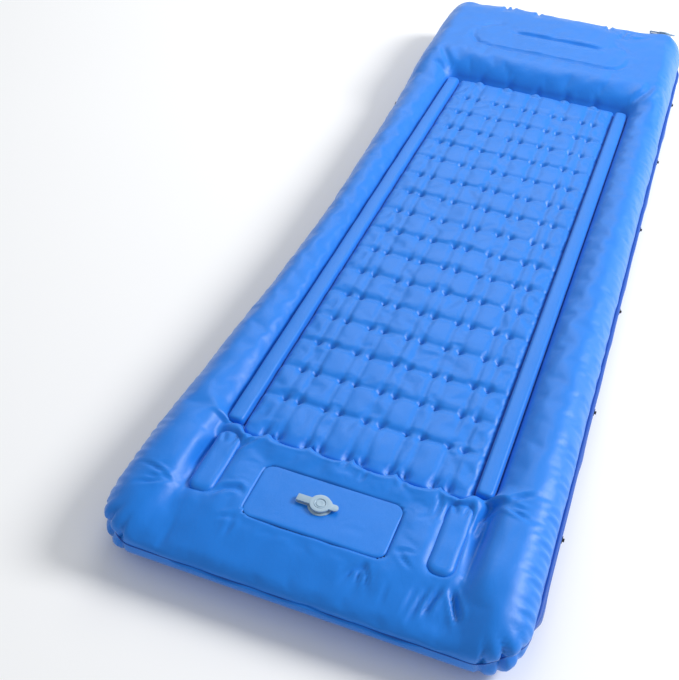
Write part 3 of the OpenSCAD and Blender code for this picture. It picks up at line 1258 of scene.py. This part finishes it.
CHANNELS = {
    Side.LEFT: Channel((-0.2285, -0.935, -0.1855, -0.797)),
    Side.RIGHT: Channel((0.1705, -0.945, 0.2135, -0.797)),
}


@dataclass
class SleepingArea(Piece):
    """The quilted field and the two rails that lie along it."""

    edge_x: float = 0.2022
    top: float = 0.1000
    rim_z: float = 0.0840
    under_z: float = 0.0062
    rail_x: tuple = (0.2024, 0.2332)
    rail_y: tuple = (-0.7735, 0.586)
    rail_seam: float = 0.0930
    rail_rise: float = 0.0105
    rail_drop: float = 0.0868

    def relief(self, x: Array, y: Array, inset: Array) -> Array:
        """The quilted top's height.

        Args:
            x: places across.
            y: places along.
            inset: distance in from the field's edge.

        Returns:
            The heights.
        """
        plan = PLAN
        off_column = np.abs(plan.from_column(x))
        across = off_column - plan.weld_length / 2
        along = plan.from_row(y)
        lines = 0.0013 * hump(across / 0.0040) * (1.0 + 1.2 * hump(along / 0.016))
        row_line = 0.0013 * hump(along / 0.0030) + 0.0006 * hump(along / 0.010)
        row_line = row_line * smooth((across + 0.006) / 0.008) + 0.0009 * hump(along / 0.008)
        ends = np.hypot(across, along)
        dimple = 0.0068 * hump(ends / 0.0046) + 0.0022 * hump(ends / 0.0110)
        knob = 0.0042 * hump(off_column / 0.0085) * hump((y - plan.field_ends[1] + 0.008) / 0.009)
        edge = (self.top - self.rim_z) * (1.0 - round_up(inset / 0.013))
        return self.top - lines - row_line - dimple - edge + knob + 0.0008 * wander(x, y, 0.07, 21)

    def holds(self, x: Array, y: Array, inset: Array) -> Array:
        """How firmly the field's top sheet is held: at its welds and its edge.

        Args:
            x: places across.
            y: places along.
            inset: distance in from the field's edge.

        Returns:
            Shares from 0 to 1.
        """
        return np.maximum((PLAN.weld_gap(x, y) < 0.0030) * 1.0, (inset < 0.004) * 1.0)

    def field(self) -> bpy.types.Object:
        """Makes the quilted field."""
        plan = PLAN
        box = (-self.edge_x, plan.field_ends[0], self.edge_x, plan.field_ends[1])
        patch = RoundedGrid(box, 0.010, 0.008, (0.0045, 0.0045), 4).build()
        straight = patch.y.copy()
        patch.y = plan.bend_ends(patch.x, straight)
        top = np.stack([patch.x, patch.y, self.relief(patch.x, straight, patch.inset)], -1)
        under = np.stack([patch.x, patch.y, np.where(patch.inset > 0.0005, self.under_z, self.rim_z)], -1)
        top[..., 2] = np.where(patch.inset > 1e-6, top[..., 2], self.rim_z)
        top = AirPressure(push=0.8, cap=0.0022).swell(top, self.holds(patch.x, straight, patch.inset))
        made = closed_shell("quilted_field", top, under)
        return self.hand_over(made, Slot.TOP, "mat", "cell_field", "field_ties")

    def rail(self, side: Side) -> bpy.types.Object:
        """Makes one rail.

        Args:
            side: which one.

        Returns:
            The rail.
        """
        sign = side.value
        low, high = sorted(sign * x for x in self.rail_x)
        box = (low, self.rail_y[0], high, self.rail_y[1])
        patch = RoundedGrid(box, 0.010, 0.0055, (0.0035, 0.006), 5).build()
        sway = 0.0009 * wander(patch.x * 0.1, patch.y, 0.11, 30 + sign)
        crown = 0.0008 * hump((patch.x - (low + high) / 2) / 0.008)
        top = patch.lift(self.rail_seam, self.rail_rise + crown + sway)
        under = patch.lift(self.rail_seam, -self.rail_drop * np.ones_like(sway))
        made = closed_shell(f"{side.name.lower()}_rail_tube", top, under)
        return self.hand_over(made, Slot.TOP, "mat", f"{side.name.lower()}_rail")

    def weld_bars(self) -> bpy.types.Object:
        """Makes the pressed bars that hold the field's two sheets together."""
        bars = GridOfBars().build("field_weld_bars", PLAN.welds(), PLAN.weld_z, self.finishes.made[Slot.TIE])
        return self.hand_over(bars, Slot.TIE, "mat")

    def build(self) -> None:
        """Makes the whole sleeping area."""
        self.field()
        for side in Side:
            self.rail(side)
        self.weld_bars()


class NodeTree:
    """A Geometry Nodes tree built from one method."""

    def __init__(self, name: str, inputs: dict) -> None:
        """Makes a tree with named number inputs.

        Args:
            name: the tree's name.
            inputs: each input's name and value.
        """
        self.tree = bpy.data.node_groups.new(name, "GeometryNodeTree")
        face = self.tree.interface
        face.new_socket("Geometry", in_out="INPUT", socket_type="NodeSocketGeometry")
        face.new_socket("Geometry", in_out="OUTPUT", socket_type="NodeSocketGeometry")
        self.values = {}
        for key, value in inputs.items():
            socket = face.new_socket(key, in_out="INPUT", socket_type="NodeSocketFloat")
            self.values[socket.identifier] = value
        self.entry = self.tree.nodes.new("NodeGroupInput")
        self.exit = self.tree.nodes.new("NodeGroupOutput")

    def add(self, kind: str, settings: dict, inputs: dict) -> bpy.types.Node:
        """Adds any node.

        Args:
            kind: the node's type.
            settings: its properties.
            inputs: its sockets by index or name, each an output socket or a value.

        Returns:
            The node.
        """
        node = self.tree.nodes.new(kind)
        for key, value in settings.items():
            setattr(node, key, value)
        for key, value in inputs.items():
            if isinstance(value, bpy.types.NodeSocket):
                self.tree.links.new(value, node.inputs[key])
            else:
                node.inputs[key].default_value = value
        return node

    def grow(self, name: str, points: Array, edges: Sequence, made: bpy.types.NodeSocket,
             material: bpy.types.Material) -> bpy.types.Object:
        """Runs the tree over points and keeps the plain mesh.

        Args:
            name: the piece's name.
            points: where the pieces go, or the path that they follow.
            edges: the path's edges.
            made: the socket that holds the new geometry.
            material: what it is made of.

        Returns:
            The piece.
        """
        real = self.add("GeometryNodeRealizeInstances", {}, {0: made})
        dressed = self.add("GeometryNodeSetMaterial", {}, {"Geometry": real.outputs[0], "Material": material})
        self.tree.links.new(dressed.outputs[0], self.exit.inputs[0])
        guide = bpy.data.meshes.new(name + "_guide")
        guide.from_pydata([tuple(p) for p in points], [tuple(e) for e in edges], [])
        holder = bpy.data.objects.new(name + "_guide", guide)
        bpy.context.scene.collection.objects.link(holder)
        modifier = holder.modifiers.new("grow", "NODES")
        modifier.node_group = self.tree
        for identifier, value in self.values.items():
            modifier[identifier] = value
        bpy.context.view_layer.update()
        graph = bpy.context.evaluated_depsgraph_get()
        mesh = bpy.data.meshes.new_from_object(holder.evaluated_get(graph))
        holder.modifiers.remove(modifier)
        bpy.data.objects.remove(holder)
        mesh.name = name
        return finish_mesh(name, mesh)


@dataclass(frozen=True)
class GridOfBars:
    """Low pressed bars, one at each weld."""

    length: float = 0.0262
    width: float = 0.0030
    height: float = 0.0016

    def build(self, name: str, places: Array, level: float, material: bpy.types.Material) -> bpy.types.Object:
        """Makes the bars.

        Args:
            name: the piece's name.
            places: the welds' centres.
            level: their height.
            material: what they are made of.

        Returns:
            The bars.
        """
        tree = NodeTree("weld_bars", {"Length": self.length, "Width": self.width, "Height": self.height})
        size = tree.add("ShaderNodeCombineXYZ", {}, {
            i: tree.entry.outputs[key] for i, key in enumerate(("Length", "Width", "Height"))})
        ball = tree.add("GeometryNodeMeshUVSphere", {}, {"Segments": 16, "Rings": 7, "Radius": 0.5})
        bar = tree.add("GeometryNodeTransform", {}, {"Geometry": ball.outputs[0], "Scale": size.outputs[0]})
        even = tree.add("GeometryNodeSetShadeSmooth", {}, {"Geometry": bar.outputs[0]})
        put = tree.add("GeometryNodeInstanceOnPoints", {}, {
            "Points": tree.entry.outputs["Geometry"], "Instance": even.outputs[0]})
        points = np.column_stack([places, np.full(len(places), level)])
        return tree.grow(name, points, [], put.outputs[0], material)


@dataclass(frozen=True)
class SeamLip:
    """A narrow welded lip that follows a closed path."""

    radius: float = 0.0013

    def build(self, name: str, path: Array, material: bpy.types.Material) -> bpy.types.Object:
        """Makes the lip.

        Args:
            name: the piece's name.
            path: the points that it follows.
            material: what it is made of.

        Returns:
            The lip.
        """
        tree = NodeTree("seam_lip", {"Radius": self.radius})
        curve = tree.add("GeometryNodeMeshToCurve", {}, {"Mesh": tree.entry.outputs["Geometry"]})
        ring = tree.add("GeometryNodeCurvePrimitiveCircle", {}, {
            "Resolution": 6, "Radius": tree.entry.outputs["Radius"]})
        tube = tree.add("GeometryNodeCurveToMesh", {}, {
            "Curve": curve.outputs[0], "Profile Curve": ring.outputs[0]})
        edges = [(i, (i + 1) % len(path)) for i in range(len(path))]
        return tree.grow(name, path, edges, tube.outputs[0], material)


@dataclass
class PumpChannels(Piece):
    """The two short welded channels beside the pump."""

    seam: float = 0.0955
    drop: float = 0.070

    def build(self) -> None:
        """Makes both channels."""
        for side, channel in CHANNELS.items():
            patch = RoundedGrid(channel.box, channel.corner, 0.013, (0.0035, 0.0045), 7).build()
            swell = 0.0007 * wander(patch.x, patch.y, 0.05, 40 + side.value)
            left, _, right, head = channel.box
            nick = Crease(((left + 0.008, head - 0.004), (left + 0.016, head - 0.030)), 0.0028, 0.0035)
            crease = Crease(((right - 0.010, head - 0.002), (right - 0.016, head - 0.034)), 0.0022, 0.0030)
            sink = nick.sink(patch.x, patch.y) + crease.sink(patch.x, patch.y)
            top = patch.lift(self.seam, channel.top - self.seam + swell)
            top[..., 2] -= sink * smooth(patch.turn)
            under = patch.lift(self.seam, -self.drop * np.ones_like(swell))
            made = closed_shell(f"{side.name.lower()}_channel_pad", top, under)
            self.hand_over(made, Slot.TOP, "mat", f"{side.name.lower()}_channel")


@dataclass
class GroundSheet(Piece):
    """The sheet that the mat lies on."""

    half_width: float = 0.288
    half_length: float = 1.007
    corner: float = 0.050
    thickness: float = 0.0012
    dimple: float = 0.0035
    quilted_x: float = 0.19

    def build(self) -> bpy.types.Object:
        """Makes the sheet, drawn up at the field's welds."""
        box = (-self.half_width, -self.half_length, self.half_width, self.half_length)
        patch = RoundedGrid(box, self.corner, 0.004, (0.008, 0.008), 2).build()
        lift = self.dimple * hump(PLAN.weld_gap(patch.x, patch.y) / 0.011)
        lift = lift * (np.abs(patch.x) < self.quilted_x)
        middle = np.stack([patch.x, patch.y, self.thickness / 2 + lift], -1)
        under, over = middle.copy(), middle.copy()
        edge = smooth(patch.inset / 0.002)
        under[..., 2] -= self.thickness / 2 * edge
        over[..., 2] += self.thickness / 2 * edge
        made = closed_shell("ground_sheet", over, under)
        flat = (2 * self.half_width, 2 * self.half_length)
        flat[0] * flat[1] - (4 - math.pi) * self.corner ** 2
        return self.hand_over(made, Slot.BASE, "mat", "base_sheet")


@dataclass
class SideStrip(Piece):
    """The hanging strip and its row of snaps along one side."""

    side: Side = Side.RIGHT
    top: float = 0.0575
    drop: float = 0.0235
    flat_width: float = 0.031
    first_snap: float = -0.763
    pitch: float = 0.312
    snaps: int = 6
    thickness: float = 0.0012
    tail: float = 0.050

    def build(self) -> bpy.types.Object:
        """Makes the strip, slack between its snaps."""
        start = self.first_snap - self.pitch / 2
        end = start + self.pitch * self.snaps
        y = np.linspace(start - self.tail, end + self.tail, 340)
        full = smooth((y - start + self.tail) / self.tail) * smooth((end + self.tail - y) / self.tail)
        stops = start + self.pitch * np.arange(self.snaps + 1)
        edge = np.interp(y, stops, PLAN.edge(self.side.value, stops))
        edge = np.where((y < start) | (y > end), PLAN.edge(self.side.value, y), edge)
        slack = np.sin(math.pi * (y - self.first_snap) / self.pitch) ** 2
        curl = 0.0022 * slack * np.sin(2 * math.pi * (y - start) / 0.171 + self.side.value)
        section = ((-0.0022, 0.0000), (0.0012, 0.0002), (0.0040, -0.0004), (0.0052, -0.0030),
                   (0.0053, -0.0080), (0.0052, -0.0130), (0.0052, -0.0180), (0.0052, -self.drop))
        rows = []
        for out, down in section:
            share = -down / self.drop
            x = edge + out * full - 0.0030 * (1.0 - full) + curl * share * full
            z = self.top + (down + 0.0035 * slack * share) * full
            rows.append(np.stack([self.side.value * x, y, z], -1))
        made = sheet_shell(f"{self.side.name.lower()}_snap_strip", np.stack(rows), self.thickness)
        # The strip takes the darker seam finish. It is painted shade on the strip that hangs beside the
        # bolster.
        return self.hand_over(made, Slot.SEAM, "mat", f"{self.side.name.lower()}_flange")


@dataclass
class EndHems(Piece):
    """The folded hems at the two ends."""

    half_length: float = 0.235
    tuck: float = 0.005
    thickness: float = 0.0009

    def hem(self, name: str, end: int, level: float, node: str) -> bpy.types.Object:
        """Makes one hem.

        Args:
            name: the piece's name.
            end: 1 at the head, -1 at the foot.
            level: its height.
            node: the CAD node that it stands for.

        Returns:
            The hem.
        """
        x = np.linspace(-self.half_length, self.half_length, 120)
        ripple = 0.0009 * np.sin(x * 71.0) + 0.0008 * np.sin(x * 23.0 + 1.0)
        taper = smooth((self.half_length - np.abs(x)) / 0.060)
        rows = []
        for out, up in ((-self.tuck, 0.0), (-0.0020, 0.0), (0.0008, -0.0002), (0.0022, -0.0010)):
            y = end * (PLAN.half_length - self.tuck + (out + self.tuck) * taper)
            rows.append(np.stack([x, y, level + ripple + up * taper], -1))
        return self.hand_over(sheet_shell(name, np.stack(rows), self.thickness), Slot.TOP, "mat", node)

    def build(self) -> None:
        """Makes both hems."""
        z = PLAN.seam_z
        self.hem("head_hem_tape", 1, z, "head_hem")
        self.hem("foot_hem_tape", -1, z, "foot_hem")


@dataclass
class FootPump(Piece):
    """The pump that is pressed by foot: pad, foam, pouch and inlet valve."""

    pad_low: float = 0.0951
    pad_top: float = 0.1001
    foam_low: float = 0.0030
    foam_top: float = 0.0943
    foam_inset: float = 0.003
    foam_bevel: float = 0.006
    pocket_radius: float = 0.016
    pocket_levels: tuple = (0.020, 0.055)
    film_inside: float = 0.0003
    film_outside: float = 0.0012
    film_levels: tuple = (0.0030, 0.0480, 0.0935)
    valve: tuple = (-0.0155, -0.892)

    def loop(self, margin: float, z: float) -> Array:
        """A rounded rectangle's loop of points, one each few degrees round the valve.

        Args:
            margin: how far outside the panel's rectangle.
            z: its height.

        Returns:
            The points.
        """
        x0, y0, x1, y1 = AirRim.panel_box(margin)
        corner = PLAN.panel_corner + margin
        centres = ((x1 - corner, y1 - corner), (x0 + corner, y1 - corner),
                   (x0 + corner, y0 + corner), (x1 - corner, y0 + corner))
        points = []
        for quarter, (cx, cy) in enumerate(centres):
            for step in range(13):
                angle = math.radians(90 * quarter + step * 7.5)
                points.append((cx + corner * math.cos(angle), cy + corner * math.sin(angle), z))
        return np.array(points)

    def pad(self) -> bpy.types.Object:
        """Makes the pad that the foot presses."""
        patch = RoundedGrid(AirRim.panel_box(0.0), PLAN.panel_corner, 0.005, (0.0045, 0.0045), 5).build()
        swell = 0.0005 * wander(patch.x, patch.y, 0.07, 51)
        seat = smooth((0.075 - np.hypot(patch.x - self.valve[0], patch.y - self.valve[1])) / 0.03)
        pull = Crease(((-0.060, -0.915), (0.080, -0.915)), 0.0007, 0.006, 0.4).sink(patch.x, patch.y)
        rim = np.minimum(pump_lip_z(patch.x, patch.y) - 0.0001, self.pad_top - 0.0006)
        top = patch.lift(rim, self.pad_top - rim)
        top[..., 2] += (swell - pull) * smooth(patch.turn) * (1.0 - seat)
        under = patch.lift(rim, self.pad_low - rim)
        made = closed_shell("pump_pad", top, under)
        return self.hand_over(made, Slot.TOP, "pump_top", "pump_panel")

    def foam(self) -> bpy.types.Object:
        """Makes the foam block with the valve's pocket in it."""
        way = self.loop(-self.foam_inset, 0.0)[:, :2] - self.valve
        rim = np.array(self.valve) + way / np.linalg.norm(way, axis=1, keepdims=True) * self.pocket_radius
        loops = [np.column_stack([rim, np.full(len(rim), z)]) for z in (*self.pocket_levels, self.foam_top)]
        loops.append(self.loop(-self.foam_bevel, self.foam_top))
        levels = np.linspace(self.foam_low + 0.004, self.foam_top - 0.004, 8)
        loops += [self.loop(-self.foam_inset, z) for z in levels[::-1]]
        loops.append(self.loop(-self.foam_bevel, self.foam_low))
        made = loft("pump_foam_block", loops)
        self.hand_over(made, Slot.FOAM, "mat", "pump_foam")
        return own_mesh(made)

    def pouch(self) -> bpy.types.Object:
        """Makes the film pouch round the foam."""
        loops = [self.loop(self.film_inside, z) for z in self.film_levels]
        loops += [self.loop(self.film_outside, z) for z in (0.0935, 0.0480, 0.0024)]
        return self.hand_over(loft("pump_pouch_film", loops), Slot.FILM, "mat", "pump_pouch")

    def build(self) -> None:
        """Makes the whole pump."""
        self.pad()
        self.foam()
        self.pouch()


@dataclass
class Fittings(Piece):
    """The moulded parts: the two valves and the two rows of snaps."""

    edge_width: float = 0.00045
    fine_edge_width: float = 0.00016
    boss_profile: tuple = (
        (0.0006, -0.0014), (0.0104, -0.0014), (0.0104, 0.0002), (0.0101, 0.0006),
        (0.0094, 0.0007), (0.0088, 0.0004), (0.0084, -0.0008), (0.0070, -0.0008),
        (0.0067, -0.0001), (0.0061, 0.0001), (0.0040, -0.0002), (0.0006, -0.0003))

    def soften(self, node: bpy.types.Object, slot: Slot) -> bpy.types.Object:
        """Makes a moulded part with rounded edges from its sharp frame shape.

        Args:
            node: the CAD node's object.
            slot: its finish.

        Returns:
            The part.
        """
        bm = bmesh.new()
        bm.from_mesh(node.data)
        bmesh.ops.remove_doubles(bm, verts=bm.verts, dist=2e-6)
        bmesh.ops.dissolve_limit(bm, angle_limit=math.radians(0.6), verts=bm.verts, edges=bm.edges)
        sharp = [e for e in bm.edges if e.is_manifold and e.calc_face_angle(0.0) > math.radians(40)]
        long_enough = [e for e in sharp if e.calc_length() > 0.0001]
        fine = "snap" in node.name or "flap" in node.name
        width = self.fine_edge_width if fine else self.edge_width
        bmesh.ops.bevel(bm, geom=long_enough, offset=width, segments=2, profile=0.6,
                        affect="EDGES", clamp_overlap=True)
        bmesh.ops.triangulate(bm, faces=[f for f in bm.faces if len(f.verts) > 4])
        mesh = bpy.data.meshes.new(node.name + "_moulded")
        bm.to_mesh(mesh)
        bm.free()
        mesh.shade_smooth()
        made = bpy.data.objects.new(node.name + "_moulded", mesh)
        bpy.context.scene.collection.objects.link(made)
        mesh.set_sharp_from_angle(angle=math.radians(35))
        return self.hand_over(made, slot, body_of(node)[0], node.name)

    def boss(self, name: str, body: str, seat: "LidSeat") -> bpy.types.Object:
        """Makes the ringed boss on a valve's lid.

        Args:
            name: the piece's name.
            body: the body that it rides on.
            seat: where the lid lies.

        Returns:
            The boss.
        """
        centre, up = seat.axis()
        side = up.orthogonal().normalized()
        other = up.cross(side)
        turns = np.linspace(0, 2 * math.pi, 48, endpoint=False)
        loops = [np.array([centre + up * high + radius * (side * math.cos(t) + other * math.sin(t))
                           for t in turns]) for radius, high in self.boss_profile]
        return self.hand_over(loft(name, loops), Slot.VALVE, body)

    def build(self) -> None:
        """Makes every moulded part."""
        for name, node in sorted(frame["nodes"].items()):
            if not node.hide_render:
                self.soften(node, Slot.SNAP if "snap" in name else Slot.VALVE)
        self.boss("pump_lid_boss", "pump_lid", LidSeat((-0.0155, -0.892, 0.100)))
        shoulder, reach, tilt = (0.258, 1.047 - 0.060, 0.146 - 0.060), 0.0564, math.radians(35.0)
        foot = (shoulder[0], shoulder[1] + reach * math.sin(tilt), shoulder[2] + reach * math.cos(tilt))
        self.boss("deflation_lid_boss", "deflation_lid", LidSeat(foot, -tilt))


@dataclass(frozen=True)
class LidSeat:
    """Where a valve stands on the fabric, and how far it leans."""

    foot: tuple
    tilt: float = 0.0
    lid_top: float = 0.0076

    def axis(self) -> tuple[Vector, Vector]:
        """The middle of the lid's round top and the way that it faces."""
        up = Matrix.Rotation(self.tilt, 3, "X") @ Vector((0, 0, 1))
        return Vector(self.foot) + up * self.lid_top, up


@dataclass(frozen=True)
class Studio:
    """Camera, floor and soft light."""

    place: tuple = (0.3394, -1.9179, 1.3867)
    azimuth: float = 18.3199
    elevation: float = 40.917
    roll: float = 3.4432
    lens: float = 56.307177
    sensor: float = 36.0

    def camera(self) -> None:
        """Makes the camera."""
        a, e, r = (math.radians(t) for t in (self.azimuth, self.elevation, self.roll))
        back = Vector((math.sin(a) * math.cos(e), -math.cos(a) * math.cos(e), math.sin(e)))
        right = Vector((0, 0, 1)).cross(back).normalized()
        up = back.cross(right)
        turned = math.cos(r) * right + math.sin(r) * up, math.cos(r) * up - math.sin(r) * right
        data = bpy.data.cameras.new("camera")
        data.sensor_width = self.sensor
        data.lens = self.lens
        camera = bpy.data.objects.new("camera", data)
        axes = Matrix((turned[0], turned[1], back)).transposed().to_4x4()
        camera.matrix_world = Matrix.Translation(self.place) @ axes
        bpy.context.scene.collection.objects.link(camera)
        bpy.context.scene.camera = camera

    def light(self, name: str, place: tuple, size: float, power: float) -> None:
        """Makes one soft light that points at the mat.

        Args:
            name: the light's name.
            place: where it stands.
            size: its width.
            power: its power.
        """
        data = bpy.data.lights.new(name, "AREA")
        data.shape, data.size, data.energy = "DISK", size, power
        lamp = bpy.data.objects.new(name, data)
        lamp.location = place
        lamp.rotation_mode = "QUATERNION"
        lamp.rotation_quaternion = Vector(place).to_track_quat("Z", "Y")
        bpy.context.scene.collection.objects.link(lamp)

    def floor(self) -> None:
        """Makes the floor."""
        bm = bmesh.new()
        bmesh.ops.create_grid(bm, x_segments=8, y_segments=8, size=30.0,
                              matrix=Matrix.Translation((0, 0, -0.0006)))
        mesh = bpy.data.meshes.new("floor")
        bm.to_mesh(mesh)
        bm.free()
        floor = bpy.data.objects.new("floor", mesh)
        floor.data.materials.append(StudioFloor("floor_white", (0.96, 0.96, 0.96, 1.0)).build())
        bpy.context.scene.collection.objects.link(floor)

    def build(self) -> None:
        """Makes the whole studio."""
        bpy.context.scene.view_settings.view_transform = "Standard"
        self.camera()
        self.floor()
        self.light("key", (3.5, 1.5, 3.0), 2.0, 215.0)
        self.light("back", (-0.6, 2.6, 3.0), 2.6, 40.0)
        world = bpy.data.worlds.new("studio")
        bpy.context.scene.world = world
        world.use_nodes = True
        sky = world.node_tree.nodes["Background"]
        sky.inputs["Color"].default_value = (0.93, 0.96, 1.0, 1.0)
        sky.inputs["Strength"].default_value = 0.50


def main() -> None:
    """Builds the studio and every sub-assembly in order."""
    logging.basicConfig(level=logging.INFO, format="%(message)s")
    Studio().build()
    finishes = Finishes()
    AirRim(finishes).build()
    SleepingArea(finishes).build()
    PumpChannels(finishes).build()
    GroundSheet(finishes).build()
    for side in Side:
        SideStrip(finishes, side).build()
    EndHems(finishes).build()
    FootPump(finishes).build()
    Fittings(finishes).build()


if __name__ == "__main__":
    main()
